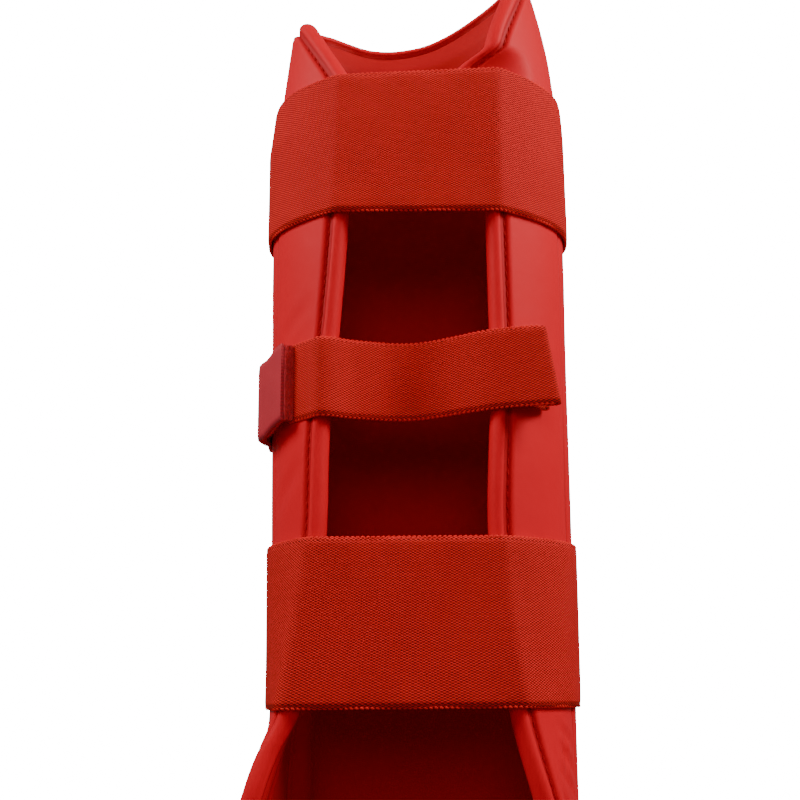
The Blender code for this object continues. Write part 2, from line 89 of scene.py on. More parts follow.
SECTION_STEPS = 24
FLAP_STATIONS = 150  # rows along a flap's free edge
FLAP_TURN = 1.24 * math.pi  # how far a flap's roll goes round
RIM_TURN = 1.20 * math.pi  # how far the rim's roll goes round
NECK_ROOM = 0.0003  # between a roll and the field beside it
GROUND = 0.0006  # skins stay this far above the hem's plane
SEAM_SHADE = 0.0010  # width of the painted shade line in a sewn groove
EDGE_HOLES = 0.0011  # the elastic's row of holes, painted dark as painted shade, from its edge
EDGE_HOLE_RUN = 0.0006

LEFT = {
    "sign": -1,
    "crest": ((0.0, 0.073, 0.004), (0.063, 0.0658, 0.0), (0.11, 0.0592, 0.0), (0.15, 0.0510, 0.0),
              (0.32, 0.0405, 0.0), (0.44, 0.0388, 0.0), (0.58, 0.0335, 0.0), (0.69, 0.0305, 0.0),
              (0.86, 0.0285, 0.003), (1.02, 0.030, 0.008)),
    "top_power": 1.0,
    "cut_drop": 0.052,
    "tip_rise": -0.012,
    "cut_power": (1.1, 0.8),
}
RIGHT = {
    "sign": 1,
    "crest": ((0.0, 0.050, 0.004), (0.063, 0.0425, 0.0), (0.15, 0.0335, 0.0), (0.32, 0.0268, 0.0),
              (0.49, 0.0292, 0.0), (0.69, 0.0290, 0.0), (0.86, 0.030, -0.001), (1.05, 0.035, 0.003)),
    "top_power": 2.0,
    "cut_drop": 0.040,
    "tip_rise": 0.010,
    "cut_power": (1.6, 0.7),
}
SIDES = {"left": LEFT, "right": RIGHT}
UP = Vector((0.0, 0.0, 1.0))


def size(name, default, description):
    return bpy.props.FloatProperty(name=name, default=default, description=description, unit="LENGTH",
                                   min=0.0, precision=5)


def colour(name, default, description):
    return bpy.props.FloatVectorProperty(name=name, default=default, description=description,
                                         subtype="COLOR", size=3, min=0.0, max=1.0)


def angle(name, degrees, description):
    return bpy.props.FloatProperty(name=name, default=math.radians(degrees), description=description,
                                   unit="ROTATION")


class PaddingSizes(bpy.types.PropertyGroup):
    rim_radius: size("Rim radius", 0.0020, "Radius of the roll along the top rim")
    groove: size("Groove depth", 0.0011, "Depth of the sewn grooves")
    groove_run: size("Groove run", 0.0024, "Width over which the pad swells beside a groove")
    roll: size("Roll half-width", 0.0027, "Half the width of a flap's rolled edge")
    hand_seam: size("Inner seam", 0.0083, "From a flap's edge to the stitches inside it")
    swell: size("Flap swell", 0.0006, "How far the middle of a flap stands proud")
    pad_run: size("Pad run", 0.020, "Width over which the front pad reaches its full thickness")
    hem: size("Hem height", 0.0045, "Height of the bound lower edge")


class ElasticSizes(bpy.types.PropertyGroup):
    band_width: size("Band width", 0.060, "Width of the two wide bands")
    band_thick: size("Band thickness", 0.0016, "Thickness of the wide bands")
    band_clear: size("Band clearance", 0.0008, "Room between the bands and the cover")
    anchor: size("Band anchor", 0.034, "Sewn end of a band, forward of the seam")
    lower_band: size("Lower band height", 0.083, "Middle of the lower band above the hem")
    upper_drop: size("Upper band drop", 0.080, "Middle of the upper band below the rim")
    strap_width: size("Strap width", 0.030, "Width of the closing strap")
    strap_thick: size("Strap thickness", 0.0015, "Thickness of the closing strap")
    loop_pitch: size("Weave pitch", 0.00186, "Length of one woven stitch")
    row_pitch: size("Row pitch", 0.00048, "Height of one woven row")
    picot: size("Edge radius", 0.00060, "Radius of the looped edge")


class TapeSizes(bpy.types.PropertyGroup):
    width: size("Tape width", 0.030, "Width of the hook-and-loop tape")
    backing: size("Backing thickness", 0.0014, "Thickness of the tab's backing")
    pile: size("Pile thickness", 0.0020, "Thickness of the loop pile")
    hooks: size("Hook thickness", 0.0018, "Thickness of the hook field")
    lap: size("Tab lap", 0.010, "Sewn length of the tab's root")


class StitchSizes(bpy.types.PropertyGroup):
    length: size("Stitch length", 0.0030, "Length of one stitch")
    space: size("Stitch spacing", 0.0041, "From one stitch to the next")
    radius: size("Thread radius", 0.00030, "Radius of the sewing thread")


class GuardColours(bpy.types.PropertyGroup):
    vinyl: colour("Vinyl", (0.76, 0.008, 0.018), "Outer cover")
    # the lining is a real inner face; its tint is darker than the vinyl partly as painted shade of the
    # guard's inside
    lining: colour("Lining", (0.52, 0.008, 0.012), "Inner face")
    elastic: colour("Elastic", (0.70, 0.019, 0.017), "Face of the woven stitches")
    # painted shade: the dark colour of the gaps between woven stitches, also used between the tab's ribs
    elastic_gap_shade: colour("Elastic gaps", (0.11, 0.004, 0.004), "Between the woven stitches")
    tape: colour("Tape", (0.58, 0.032, 0.046), "Back of the hook tab")
    pile: colour("Pile", (0.85, 0.060, 0.075), "Loop pile and hooks")
    thread: colour("Thread", (0.46, 0.006, 0.010), "Sewing thread")


class StageSettings(bpy.types.PropertyGroup):
    distance: size("Camera distance", 0.434, "From the camera to the rear plane of the guard")
    height: size("Camera height", 0.056, "Height of the camera")
    aside: bpy.props.FloatProperty(name="Camera offset", default=-0.0080, unit="LENGTH",
                                   description="Sideways place of the camera")
    pitch: angle("Camera pitch", 14.0, "How far the camera looks up")
    turn: angle("Camera turn", 0.0, "How far the camera is moved round the guard")
    roll: angle("Camera roll", -0.5, "Tilt of the camera to one side")
    lens: bpy.props.FloatProperty(name="Lens", default=54.0, description="Focal length", unit="CAMERA")


GROUPS = {
    "guard_padding": PaddingSizes,
    "guard_elastic": ElasticSizes,
    "guard_tape": TapeSizes,
    "guard_stitch": StitchSizes,
    "guard_colours": GuardColours,
    "guard_stage": StageSettings,
}


def sizes(name):
    return getattr(bpy.context.scene, name)


# Shader nodes


class Value:
    """A shader socket that takes part in Python arithmetic."""

    def __init__(self, finish, socket):
        self.finish = finish
        self.socket = socket

    def math(self, operation, *inputs, clamp=False):
        return self.finish.node("ShaderNodeMath", {"operation": operation, "use_clamp": clamp},
                                dict(enumerate(inputs)))

    def __add__(self, other):
        return self.math("ADD", self, other)

    __radd__ = __add__

    def __sub__(self, other):
        return self.math("SUBTRACT", self, other)

    def __rsub__(self, other):
        return self.math("SUBTRACT", other, self)

    def __mul__(self, other):
        return self.math("MULTIPLY", self, other)

    __rmul__ = __mul__

    def __truediv__(self, other):
        return self.math("DIVIDE", self, other)

    def __pow__(self, other):
        return self.math("POWER", self, other)

    def __abs__(self):
        return self.math("ABSOLUTE", self)

    def floor(self):
        return self.math("FLOOR", self)

    def part(self):
        return self.math("FRACT", self)

    def cosine(self):
        return self.math("COSINE", self)

    def kept(self):
        """The value held between 0 and 1."""
        return self.math("ADD", self, 0.0, clamp=True)


class Finish:
    """A material with a Principled shader, and one way to add nodes to it."""

    def __init__(self, name, constants):
        self.material = bpy.data.materials.new(name)
        self.material.use_nodes = True
        self.tree = self.material.node_tree
        self.shader = self.tree.nodes["Principled BSDF"]
        for socket, value in constants.items():
            self.shader.inputs[socket].default_value = value

    def node(self, kind, settings=None, inputs=None, output=0):
        made = self.tree.nodes.new(kind)
        for setting, value in (settings or {}).items():
            setattr(made, setting, value)
        for socket, value in (inputs or {}).items():
            if isinstance(value, Value):
                self.tree.links.new(value.socket, made.inputs[socket])
            elif value is not None:
                made.inputs[socket].default_value = value
        return Value(self, made.outputs[output])

    def feed(self, socket, value):
        self.tree.links.new(value.socket, self.shader.inputs[socket])

    def attribute(self, name):
        return self.node("ShaderNodeAttribute", {"attribute_name": name}, output="Fac")

    def place(self):
        return self.node("ShaderNodeTexCoord", output="Object")

    def grain(self, scale, detail=2.0, roughness=0.5):
        return self.node("ShaderNodeTexNoise", {}, {"Vector": self.place(), "Scale": scale,
                                                    "Detail": detail, "Roughness": roughness})

    def mix(self, factor, first, second):
        return self.node("ShaderNodeMix", {"data_type": "RGBA"}, {0: factor, 6: first, 7: second}, 2)

    def bump(self, height, distance, strength, under=None):
        return self.node("ShaderNodeBump", {}, {"Height": height, "Distance": distance,
                                                "Strength": strength, "Normal": under})


def rgba(tint, scale=1.0):
    return (*(min(1.0, channel * scale) for channel in tint), 1.0)


@functools.cache
def vinyl_finish():
    """Soft vinyl: a lining inside with a darker tint, partly painted shade, and painted shade in the sewn
    grooves. It reads "lining" and "seam".
    """
    tints = sizes("guard_colours")
    finish = Finish("vinyl", {"Specular IOR Level": 0.2, "Specular Tint": (1.0, 0.25, 0.22, 1.0)})
    cloudy = finish.grain(14.0, 3.0)
    worn = finish.grain(90.0, 4.0, 0.6)
    shade = cloudy * 0.7 + worn * 0.3
    outside = finish.mix(shade, rgba(tints.vinyl, 0.90), rgba(tints.vinyl, 1.10))
    # inside: the lining, its darker tint partly painted shade
    inside = finish.mix(shade, rgba(tints.lining, 0.90), rgba(tints.lining, 1.10))
    lined = finish.attribute("lining").kept()
    # painted shade: the vinyl darkens towards the thread colour close to a sewn line
    groove = (1.0 - finish.attribute("seam") / SEAM_SHADE).kept()
    face = finish.mix(lined, outside, inside)
    finish.feed("Base Color", finish.mix(groove * 0.45, face, rgba(tints.thread, 0.25)))
    finish.feed("Roughness", 0.44 + lined * 0.12 + worn * 0.16)
    pores = finish.node("ShaderNodeTexVoronoi", {"feature": "DISTANCE_TO_EDGE"},
                        {"Vector": finish.place(), "Scale": 1100.0})
    creases = finish.bump(finish.grain(160.0, 5.0, 0.65), 0.0004, 0.35)
    finish.feed("Normal", finish.bump(pores, 0.00012, 0.22, creases))
    return finish.material


@functools.cache
def elastic_finish():
    """Woven elastic: a lattice of short stitches, each row half a stitch from the next, and a row of holes
    by each edge.
    """
    tints = sizes("guard_colours")
    weave = sizes("guard_elastic")
    finish = Finish("woven_elastic", {"Specular IOR Level": 0.15, "Specular Tint": (1.0, 0.35, 0.3, 1.0)})
    along = finish.attribute("along") * (math.tau / weave.loop_pitch)
    across = finish.attribute("across") * (math.pi / weave.row_pitch)
    edge = finish.attribute("edge")
    wander = finish.grain(260.0, 3.0)
    lattice = ((along + wander * 1.2).cosine() * across.cosine()) * 0.5 + 0.5
    row = (across / math.tau).floor()
    streak = finish.node("ShaderNodeTexWhiteNoise", {"noise_dimensions": "1D"}, {"W": row})
    cloudy = finish.grain(40.0, 3.0)
    holes = (along.cosine() * 0.7 + 0.5).kept() * (1.0 - abs(edge - EDGE_HOLES) / EDGE_HOLE_RUN).kept()
    lit = finish.mix(cloudy * 0.8 + streak * 0.15, rgba(tints.elastic, 1.08), rgba(tints.elastic, 1.42))
    # painted shade: the gaps between the woven stitches and the row of holes by the edge are darkened to the
    # gap colour
    depth = ((0.66 - lattice) / 0.42).kept() * 0.9 + holes * 0.4
    finish.feed("Base Color", finish.mix(depth.kept(), lit, rgba(tints.elastic_gap_shade)))
    finish.feed("Roughness", 0.70 + depth * 0.2)
    finish.feed("Normal", finish.bump(lattice - holes, 0.00022, 0.6))
    return finish.material


@functools.cache
def tape_finish():
    """Woven backing of the tab, with a fine slanting rib and painted shade between the ribs."""
    tints = sizes("guard_colours")
    finish = Finish("tab_backing", {"Specular IOR Level": 0.3, "Specular Tint": (1.0, 0.6, 0.6, 1.0)})
    rib = ((finish.attribute("along") * 1.0 + finish.attribute("across") * 0.8) / 0.0011).part() - 0.5
    ridge = 1.0 - (abs(rib) * 2.0) ** 2.0
    fibre = finish.grain(1500.0, 3.0)
    worn = finish.grain(60.0, 3.0)
    shade = finish.mix(worn, rgba(tints.tape, 0.85), rgba(tints.tape, 1.15))
    # painted shade: the hollows between the ribs darkened towards the elastic's gap colour
    finish.feed("Base Color", finish.mix((1.0 - ridge) * 0.35, shade, rgba(tints.elastic_gap_shade)))
    finish.feed("Roughness", 0.52 + fibre * 0.2)
    finish.feed("Normal", finish.bump(ridge * 0.6 + fibre * 0.5, 0.0002, 0.5))
    return finish.material


@functools.cache
def pile_finish():
    tints = sizes("guard_colours")
    finish = Finish("loop_pile", {"Specular IOR Level": 0.15, "Specular Tint": (1.0, 0.5, 0.5, 1.0)})
    tufts = finish.grain(900.0, 4.0, 0.7)
    finish.feed("Base Color", finish.mix(tufts, rgba(tints.pile, 0.55), rgba(tints.pile, 1.15)))
    finish.feed("Roughness", 0.80 + tufts * 0.15)
    finish.feed("Normal", finish.bump(tufts, 0.0003, 0.5))
    return finish.material


@functools.cache
def thread_finish(name="sewing_thread"):
    tint = sizes("guard_colours").thread
    finish = Finish(name, {"Specular IOR Level": 0.2, "Specular Tint": (1.0, 0.4, 0.4, 1.0)})
    twist = finish.grain(2200.0, 2.0)
    finish.feed("Base Color", finish.mix(twist, rgba(tint, 0.7), rgba(tint, 1.4)))
    finish.feed("Roughness", 0.6 + twist * 0.2)
    finish.feed("Normal", finish.bump(twist, 0.0002, 0.6))
    return finish.material


# The shell's outline


def clamp(value, low=0.0, high=1.0):
    return max(low, min(high, value))


def smoothstep(value):
    value = clamp(value)
    return value * value * (3.0 - 2.0 * value)


def smooth_keys(keys, at):
    """Value at a place on a smooth curve through keys of (place, value, value, ...)."""
    at = clamp(at, keys[0][0], keys[-1][0])
    span = next(i for i in range(len(keys) - 1) if at <= keys[i + 1][0])
    before, start = keys[max(span - 1, 0)], keys[span]
    end, after = keys[span + 1], keys[min(span + 2, len(keys) - 1)]
    width = end[0] - start[0]
    t = (at - start[0]) / width
    values = []
    for k in range(1, len(start)):
        slope_in = (end[k] - before[k]) / (end[0] - before[0]) * width
        slope_out = (after[k] - start[k]) / (after[0] - start[0]) * width
        values.append((2 * t**3 - 3 * t**2 + 1) * start[k] + (t**3 - 2 * t**2 + t) * slope_in
                      + (3 * t**2 - 2 * t**3) * end[k] + (t**3 - t**2) * slope_out)
    return values


QUARTER = np.linspace(0.0, math.pi / 2, SECTION_STEPS + 1)
FLAP_T = np.linspace(0.0, 1.0, SECTION_STEPS + 1)[1:]


@functools.lru_cache(maxsize=200000)
def section(sign, z):
    """Outer outline at a height, from the middle of the front to the crest: distances, xs, ys, seam."""
    side = LEFT if sign < 0 else RIGHT
    top = clamp((z - HEIGHT + TOP_TAPER_SPAN) / TOP_TAPER_SPAN, 0.0, TOP_LIMIT)
    wide = HALF_WIDTH - TOP_TAPER * top ** side["top_power"]
    wide -= BOTTOM_TAPER * clamp(1.0 - z / BOTTOM_TAPER_SPAN)
    deep = DEPTH - WIDEST_Y - TOP_LEAN * smoothstep((z - HEIGHT / 2) / (HEIGHT / 2))
    xs = wide * np.sin(QUARTER) ** (2 / FRONT_POWER)
    ys = WIDEST_Y + deep * np.maximum(np.cos(QUARTER), 0.0) ** (2 / FRONT_POWER)
    open_x, open_y = smooth_keys(side["crest"], z / HEIGHT)
    reach = math.hypot(wide - open_x, WIDEST_Y - open_y)
    pull_y = WIDEST_Y - FLAP_PULL * reach
    lift_x, lift_y = open_x + FLAP_LIFT * (wide - open_x), open_y + FLAP_LIFT * (pull_y - open_y)
    t = FLAP_T
    flap_x = (1 - t) ** 3 * wide + 3 * (1 - t) ** 2 * t * wide + 3 * (1 - t) * t**2 * lift_x + t**3 * open_x
    flap_y = ((1 - t) ** 3 * WIDEST_Y + 3 * (1 - t) ** 2 * t * pull_y + 3 * (1 - t) * t**2 * lift_y
              + t**3 * open_y)
    xs, ys = np.concatenate([xs, flap_x]), np.concatenate([ys, flap_y])
    far = np.concatenate([[0.0], np.cumsum(np.hypot(np.diff(xs), np.diff(ys)))])
    behind = SEAM_BEHIND - SEAM_FORWARD * smoothstep((z - HEIGHT + SEAM_SPAN) / SEAM_SPAN)
    return far, xs, ys, far[SECTION_STEPS] + behind


def seam_at(side, z):
    return section(side["sign"], round(z, 5))[3]


def flat_place(side, z, along, out=0.0):
    """Point in plan and its outward direction, at a distance along the outline and off it."""
    far, xs, ys, _ = section(side["sign"], round(z, 5))
    step = 0.0015
    spots = np.clip([along, along + step, along - step], -step, far[-1])
    x = np.interp(np.abs(spots), far, xs) * np.where(spots < 0, -1, 1)
    y = np.interp(np.abs(spots), far, ys)
    run = Vector((x[1] - x[2], y[1] - y[2])).normalized()
    away = Vector((-run.y, run.x))
    return Vector((x[0], y[0])) + away * float(out), away


def place(side, z, along, out=0.0):
    """Point in space at a height, a distance from the front's middle line and off the outer face."""
    flat, _ = flat_place(side, z, along, out)
    return Vector((side["sign"] * flat.x, flat.y + BACK_Y, z))


def tip_height(side):
    return HEIGHT + side["tip_rise"]


def reach_at(side, z):
    """Distance from the front's middle line to the flap's free edge."""
    full = section(side["sign"], round(z, 5))[0][-1]
    start = HEIGHT - side["cut_drop"]
    least = seam_at(side, z) + SKIN_GAP + 2 * ROLL_R
    t = clamp((z - start) / (tip_height(side) - start))
    first, second = side["cut_power"]
    return least + (full - least) * (1 - t**first) ** second


def rim_at(side, along):
    """Height of the top rim at a distance from the front's middle line."""
    return HEIGHT + smooth_keys(RIM, along * side["sign"])[0]


@functools.cache
def edge_stations(word):
    """The flap's free edge as evenly spaced (distance, height) points and its inward directions."""
    side = SIDES[word]
    high = tip_height(side)
    fine = [Vector((reach_at(side, z), z)) for z in
            (high * (1 - (1 - i / 600) ** 1.4) for i in range(601))]
    far = along_path(fine)
    even = np.linspace(0.0, far[-1], FLAP_STATIONS + 1)
    alongs = np.interp(even, far, [p.x for p in fine])
    heights = np.interp(even, far, [p.y for p in fine])
    points = [Vector((a, z)) for a, z in zip(alongs, heights)]
    inward = []
    for i in range(FLAP_STATIONS + 1):
        run = (points[min(i + 2, FLAP_STATIONS)] - points[max(i - 2, 0)]).normalized()
        inward.append(Vector((-run.y, run.x)))
    return points, inward


# Mesh building


def skin(name, columns, rows, spot, finish, wrap="", marks=None):
    """A grid laid over spot(u, v). wrap names the directions that close on themselves, and open ends are
    capped. marks(u, v) gives the measures that the finish reads, by name."""
    form = bmesh.new()
    bmesh.ops.create_grid(form, x_segments=columns, y_segments=rows, size=0.5)
    layers = {word: form.verts.layers.float.new(word) for word in (marks(0.0, 0.0) if marks else ())}
    for vertex in form.verts:
        u = round((vertex.co.x + 0.5) * columns) / columns
        v = round((vertex.co.y + 0.5) * rows) / rows
        if marks:
            for word, value in marks(u, v).items():
                vertex[layers[word]] = value
        vertex.co = spot(u, v)
    if wrap:
        bmesh.ops.remove_doubles(form, verts=form.verts, dist=2e-6)
        open_edges = [edge for edge in form.edges if edge.is_boundary]
        for edge in open_edges:
            edge.smooth = False
        bmesh.ops.holes_fill(form, edges=open_edges, sides=0)
    bmesh.ops.recalc_face_normals(form, faces=form.faces)
    return finished(name, form, finish)


def finished(name, form, finish):
    for face in form.faces:
        face.smooth = True
    mesh = bpy.data.meshes.new(name)
    form.to_mesh(mesh)
    form.free()
    mesh.materials.append(finish)
    piece = bpy.data.objects.new(name, mesh)
    bpy.context.scene.collection.objects.link(piece)
    return piece


def settled(piece, body="guard", nodes=()):
    if body:
        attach(piece, body)
    if nodes:
        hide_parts(*nodes)
    return piece


def along_path(points):
    return np.concatenate([[0.0], np.cumsum([(b - a).length for a, b in zip(points, points[1:])])])


@functools.cache
def bead_shape():
    """Corners and faces of one round bead that lies along X."""
    form = bmesh.new()
    bmesh.ops.create_uvsphere(form, u_segments=6, v_segments=5, radius=1.0,
                              matrix=Matrix.Rotation(math.pi / 2, 4, "Y"))
    corners = [vertex.co.copy() for vertex in form.verts]
    faces = [[vertex.index for vertex in face.verts] for face in form.faces]
    form.free()
    return corners, faces


def add_bead(form, middle, run, length, radius):
    """One rounded stitch of thread."""
    turn = run.to_track_quat("X", "Z").to_matrix().to_4x4()
    shape = Matrix.Translation(middle) @ turn @ Matrix.Diagonal((length / 2, radius, radius, 1.0))
    corners, faces = bead_shape()
    made = [form.verts.new(shape @ corner) for corner in corners]
    for face in faces:
        form.faces.new([made[i] for i in face])


def stitch_row(name, points, nodes):
    """Separate stitches along a line of points."""
    stitch = sizes("guard_stitch")
    far = along_path(points)
    form = bmesh.new()
    for i in range(int(far[-1] / stitch.space)):
        ends = [i * stitch.space, i * stitch.space + stitch.length]
        spots = [Vector([np.interp(end, far, [p[k] for p in points]) for k in range(3)]) for end in ends]
        add_bead(form, (spots[0] + spots[1]) / 2, spots[1] - spots[0], stitch.length, stitch.radius)
    settled(finished(name, form, thread_finish()), "guard", nodes)


# Padded panels


def pillow(distance):
    """0 in a sewn groove, 1 away from it."""
    run = sizes("guard_padding").groove_run
    return 1.0 - (1.0 - clamp(distance / run)) ** 2.6


def soft_noise(spot, scale, seed):
    return noise.noise(spot * scale + Vector((seed, seed * 0.7, seed * 1.3)))


def line_crease(along, z, start, end, width, depth):
    """A soft crease along a line between two (distance, height) places."""
    a, b, p = Vector(start), Vector(end), Vector((along, z))
    t = clamp((p - a).dot(b - a) / (b - a).length_squared)
    gap = (p - a.lerp(b, t)).length / width
    fade = math.sin(math.pi * clamp(0.12 + 0.76 * t))
    return -depth * math.exp(-gap * gap) * fade + 0.5 * depth * math.exp(-((gap - 1.7) ** 2)) * fade


def flap_creases(word, side, along, z):
    """Puckers of the cover, in metres off the flap's face."""
    inward = along - seam_at(side, z)
    value = 0.00035 * soft_noise(Vector((along, z * 0.6, side["sign"])), 34.0, 3.1)
    if word == "right":
        for low, high in (((0.014, 0.046), (0.003, 0.040)), ((0.015, 0.039), (0.004, 0.031)),
                          ((0.017, 0.031), (0.006, 0.023)), ((0.010, 0.042), (0.012, 0.030)),
                          ((0.018, 0.022), (0.007, 0.010))):
            value += line_crease(inward, z, low, high, 0.0013, 0.0010)
    else:
        value += line_crease(inward, z, (0.022, 0.205), (0.010, 0.195), 0.0030, 0.0004)
        value += line_crease(inward, z, (0.020, 0.140), (0.006, 0.128), 0.0035, 0.0004)
    return value


PINCH = 0.013  # how far the upper band pushes the right flap's edge inward
PINCH_HIGH = 0.3135
PINCH_LOW = 0.301
PINCH_FOOT = 0.275
PINCH_RUN = 0.016


def pinched(side, spot, from_edge):
    """The right flap's edge, pushed into the opening where the upper band pulls on it."""
    if side["sign"] < 0:
        return spot
    rise = smoothstep((PINCH_HIGH - spot.z) / (PINCH_HIGH - PINCH_LOW))
    foot = smoothstep((spot.z - PINCH_FOOT) / (PINCH_LOW - PINCH_FOOT))
    push = PINCH * rise * foot * (1.0 - smoothstep(from_edge / PINCH_RUN))
    return spot + Vector((-push, push * 0.25, 0.0))


SEAM_LAP = 0.0007  # how far a flap laps over the seam, so that the seam is closed
ROLL_STEPS = 14
FIELD_STEPS = 30


def flap_profile():
    """Round the flap's section: outer face from the seam, roll, inner face back, and the seam's wall."""
    shares = [(1 - math.cos(math.pi * i / FIELD_STEPS)) / 2 for i in range(FIELD_STEPS + 1)]
    rows = [("field", share, 1) for share in shares]
    rows += [("roll", (i / ROLL_STEPS - 0.5) * FLAP_TURN, 0) for i in range(ROLL_STEPS + 1)]
    rows += [("field", share, -1) for share in reversed(shares)]
    return rows


class GUARD_OT_flaps(bpy.types.Operator):
    """Make the two padded side flaps with their rolled edges"""

    bl_idname = "guard.flaps"
    bl_label = "Side flaps"

    def execute(self, context):
        pad = sizes("guard_padding")
        profile = flap_profile()
        steps = FLAP_STATIONS
        for word, side in SIDES.items():
            points, inward = edge_stations(word)
            neck = 2 * pad.roll + NECK_ROOM

            def spot(u, v):
                kind, at, face = profile[round(u * (len(profile) - 1))]
                i = round(v * steps)
                edge, turn = points[i], inward[i]
                if kind == "roll":
                    inset = edge + turn * (pad.roll - pad.roll * math.cos(at))
                    off = -EDGE_PAD / 2 - ROLL_R * math.sin(at)
                    off += 0.00025 * soft_noise(Vector((inset.x, inset.y, side["sign"])), 70.0, 1.7)
                    return pinched(side, place(side, max(inset.y, GROUND), inset.x, off), 0.0)
                near = edge + turn * neck
                seam = seam_at(side, near.y) - SEAM_LAP
                along = seam + at * max(near.x - seam, 0.0002)
                from_edge = max(near.x - along, 0.0)
                if face > 0:
                    field = pillow(along - seam) * pillow(from_edge) * pillow(near.y)
                    rise = (pad.groove + pad.swell) * field - pad.groove
                    off = rise + flap_creases(word, side, along, near.y) * field
                else:
                    field = pillow(along - seam) * pillow(abs(from_edge + neck - pad.hand_seam))
                    off = -EDGE_PAD - (pad.groove + pad.swell) * field + pad.groove
                return pinched(side, place(side, max(near.y, GROUND), along, off), from_edge)

            # seam: distance to the nearest sewn line, which the vinyl darkens as painted shade; lining: the
            # inner face, tinted darker partly as painted shade
            def marks(u, v):
                kind, at, face = profile[round(u * (len(profile) - 1))]
                i = round(v * steps)
                if kind == "roll":
                    return {"lining": 0.0, "seam": (FLAP_TURN / 2 - abs(at)) * ROLL_R}
                near = points[i] + inward[i] * neck
                wide = max(near.x - seam_at(side, near.y), 0.0002)
                from_neck = abs((1 - at) * wide - (0.0 if face > 0 else pad.hand_seam - neck))
                return {"lining": float(face < 0), "seam": min(at * wide, from_neck)}

            piece = skin(f"{word}_flap", len(profile) - 1, steps, spot, vinyl_finish(), "u", marks)
            settled(piece, "guard", [f"{word}_flap_{part}" for part in
                                              ("cover", "foam", "lining", "roll", "hem")])
        return {"FINISHED"}


RIM_MIDDLE = 0.0046  # roll's middle, inside the outer face
RIM_THIN = 0.0022  # how much thinner the panel is at its rim
RIM_THIN_RUN = 0.014
UNSEWN = 0.01  # stands for "far from any seam"


class GUARD_OT_front_panel(bpy.types.Operator):
    """Make the thick front panel with its rolled, scooped rim and bound hem"""

    bl_idname = "guard.front_panel"
    bl_label = "Front panel"

    def execute(self, context):
        pad = sizes("guard_padding")
        face_steps, edge_steps, rim_steps, hem_steps, columns = 70, 26, 14, 5, 132

        def loop():
            """Up the outer face, over the rim, down the inner face and under the hem."""
            shares = [i / face_steps * 0.92 for i in range(face_steps)]
            shares += [1 - 0.08 * (1 - i / edge_steps) ** 1.6 for i in range(edge_steps + 1)]
            rows = [("outer", share) for share in shares]
            rows += [("rim", (i / rim_steps - 0.5) * RIM_TURN) for i in range(rim_steps + 1)]
            rows += [("inner", share) for share in reversed(shares)]
            rows += [("hem", i / hem_steps) for i in range(hem_steps + 1)]
            return rows + rows[:1]

        rows = loop()

        def spot(u, v):
            side = RIGHT if u >= 0.5 else LEFT
            share = abs(u - 0.5) * 2
            rim = rim_at(side, share * seam_at(side, HEIGHT))
            kind, at = rows[round(v * (len(rows) - 1))]
            if kind == "rim":
                z = rim - pad.rim_radius + pad.rim_radius * math.cos(at)
                off = -RIM_MIDDLE - pad.rim_radius * math.sin(at)
                along = share * (seam_at(side, z) - SKIN_GAP)
                wave = 0.0003 * soft_noise(Vector((u * 3.0, 0.0, side["sign"] * 0.01)), 9.0, 5.0)
                return place(side, z + wave, along, off + wave)
            low, high = pad.hem * 0.35, rim - 2 * pad.rim_radius - 0.0004
            if kind == "hem":
                z = GROUND + 0.0004 * abs(at - 0.5)
                return place(side, z, share * (seam_at(side, z) - SKIN_GAP), -EDGE_PAD * (0.88 - 0.76 * at))
            z = low + at * (high - low)
            along = share * (seam_at(side, z) - SKIN_GAP)
            edge = seam_at(side, z) - along
            inward = min(edge, rim - z, z)
            fold = pillow(max(edge, 0.0)) * pillow(high - z) * (0.35 + 0.65 * pillow(abs(z - pad.hem)))
            deepest = pad.groove * (2.0 - pillow(high - z))
            rise = (deepest + 0.0003) * fold - deepest
            if kind == "outer":
                pucker = 0.0004 * soft_noise(Vector((along * side["sign"], z * 0.5, 0.0)), 26.0, 8.0)
                return place(side, z, along, rise + pucker * fold)
            deep = EDGE_PAD + (FRONT_PAD - EDGE_PAD) * smoothstep(inward / pad.pad_run)
            deep -= RIM_THIN * (1 - smoothstep((high - z) / RIM_THIN_RUN))
            pucker = 0.0006 * soft_noise(Vector((along * side["sign"], z * 0.7, 0.0)), 22.0, 6.0)
            return place(side, z, along, -deep - rise + pucker * fold)

        # seam: distance to the nearest sewn line, which the vinyl darkens as painted shade; lining: the
        # inner face, tinted darker partly as painted shade
        def marks(u, v):
            kind, at = rows[round(v * (len(rows) - 1))]
            share = abs(u - 0.5) * 2
            rim = rim_at(RIGHT if u >= 0.5 else LEFT, share * seam_at(RIGHT, HEIGHT))
            to_rim = (1 - at) * rim
            if kind == "rim":
                to_rim = (RIM_TURN / 2 - abs(at)) * pad.rim_radius
            nearest = min(to_rim, (1 - share) * seam_at(RIGHT, HEIGHT))
            return {"lining": float(kind == "inner"), "seam": UNSEWN if kind == "hem" else nearest}

        piece = skin("front_panel", columns, len(rows) - 1, spot, vinyl_finish(), wrap="v", marks=marks)
        settled(piece, "guard", ["front_cover", "front_foam", "front_lining", "rim_roll",
                                          "front_hem"])
        return {"FINISHED"}


